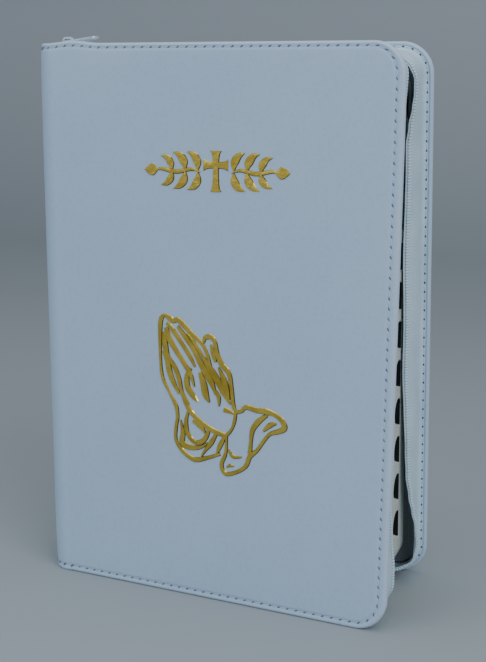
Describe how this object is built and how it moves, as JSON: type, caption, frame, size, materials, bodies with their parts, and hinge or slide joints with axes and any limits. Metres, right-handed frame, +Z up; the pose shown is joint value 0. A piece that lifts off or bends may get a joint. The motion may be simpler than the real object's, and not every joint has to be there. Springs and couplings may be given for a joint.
{
  "type": "prayer book",
  "caption": "Zip-around prayer book in pale leather with gilt praying hands, stiff covers that stand a little open, a thumb-indexed page block and a coil zipper.",
  "frame": {"origin": "under the middle of the bounding box, on the surface that the book stands on", "axes": "+X from the spine to the fore edge, +Y from the front cover to the back cover, +Z up"},
  "size_m": [0.146, 0.056, 0.2129],
  "materials": {
    "cover_leather": "fine-grained pale bonded leather, satin",
    "board": "grey-brown binder's board",
    "lining": "dark grey woven lining",
    "thread": "pale bonded sewing thread",
    "gold_foil": "hot-stamped gold foil, bright",
    "zip_tape": "white herringbone woven tape",
    "zip_coil": "white nylon coil",
    "zip_stop": "crimped, bright",
    "slider_metal": "white lacquer, semi-gloss",
    "spine_pad": "open cotton mull and glue",
    "headband": "white sewn headband",
    "page_paper": "thin matt Bible paper, plain edges",
    "endpaper": "uncoated endpaper",
    "index_label": "black coated label, no print"
  },
  "bodies": {
    "back_book_half": {"spine_leather_back": "cover_leather", "spine_lining_back": "lining", "spine_pad_back": "spine_pad", "headbands_back": "headband", "back_pages": "page_paper", "back_flyleaf": "endpaper", "back_index_labels": "index_label"},
    "front_book_half": {"spine_leather_front": "cover_leather", "spine_lining_front": "lining", "spine_pad_front": "spine_pad", "headbands_front": "headband", "front_pages": "page_paper", "front_flyleaf": "endpaper", "front_index_labels": "index_label"},
    "front_cover": {"front_leather": "cover_leather", "front_board": "board", "front_lining": "lining", "front_stitching": "thread", "front_ornament": "gold_foil", "front_hands": "gold_foil", "front_tape": "zip_tape", "front_coil": "zip_coil", "front_stops": "zip_stop"},
    "back_cover": {"back_leather": "cover_leather", "back_board": "board", "back_lining": "lining", "back_stitching": "thread", "back_tape": "zip_tape", "back_coil": "zip_coil", "back_stop": "zip_stop"},
    "zip_slider": {"slider_body": "slider_metal", "slider_bridge": "slider_metal"},
    "zip_pull": {"pull_tab": "slider_metal"}
  },
  "joints": [
    {"name": "book_opening", "type": "hinge", "parent": "back_book_half", "child": "front_book_half", "pos_m": [-0.073, 0.00524, 0], "axis": [0, 0, -1], "range_deg": [0, 150]},
    {"name": "front_cover_hinge", "type": "hinge", "parent": "front_book_half", "child": "front_cover", "pos_m": [-0.064, -0.01246, 0], "axis": [0, 0, -1], "range_deg": [-2.6, 94]},
    {"name": "back_cover_hinge", "type": "hinge", "parent": "back_book_half", "child": "back_cover", "pos_m": [-0.064, 0.02294, 0], "axis": [0, 0, 1], "range_deg": [0, 88]},
    {"name": "zipper_slide", "type": "slide", "parent": "back_cover", "child": "zip_slider", "axis": [0.9997, 0.0262, 0], "range_m": [0, 0.115]},
    {"name": "pull_swing", "type": "hinge", "parent": "zip_slider", "child": "zip_pull", "pos_m": [-0.06813, 0.00513, 0.2106], "axis": [0.0262, -0.9997, 0], "range_deg": [0, 150]}
  ]
}
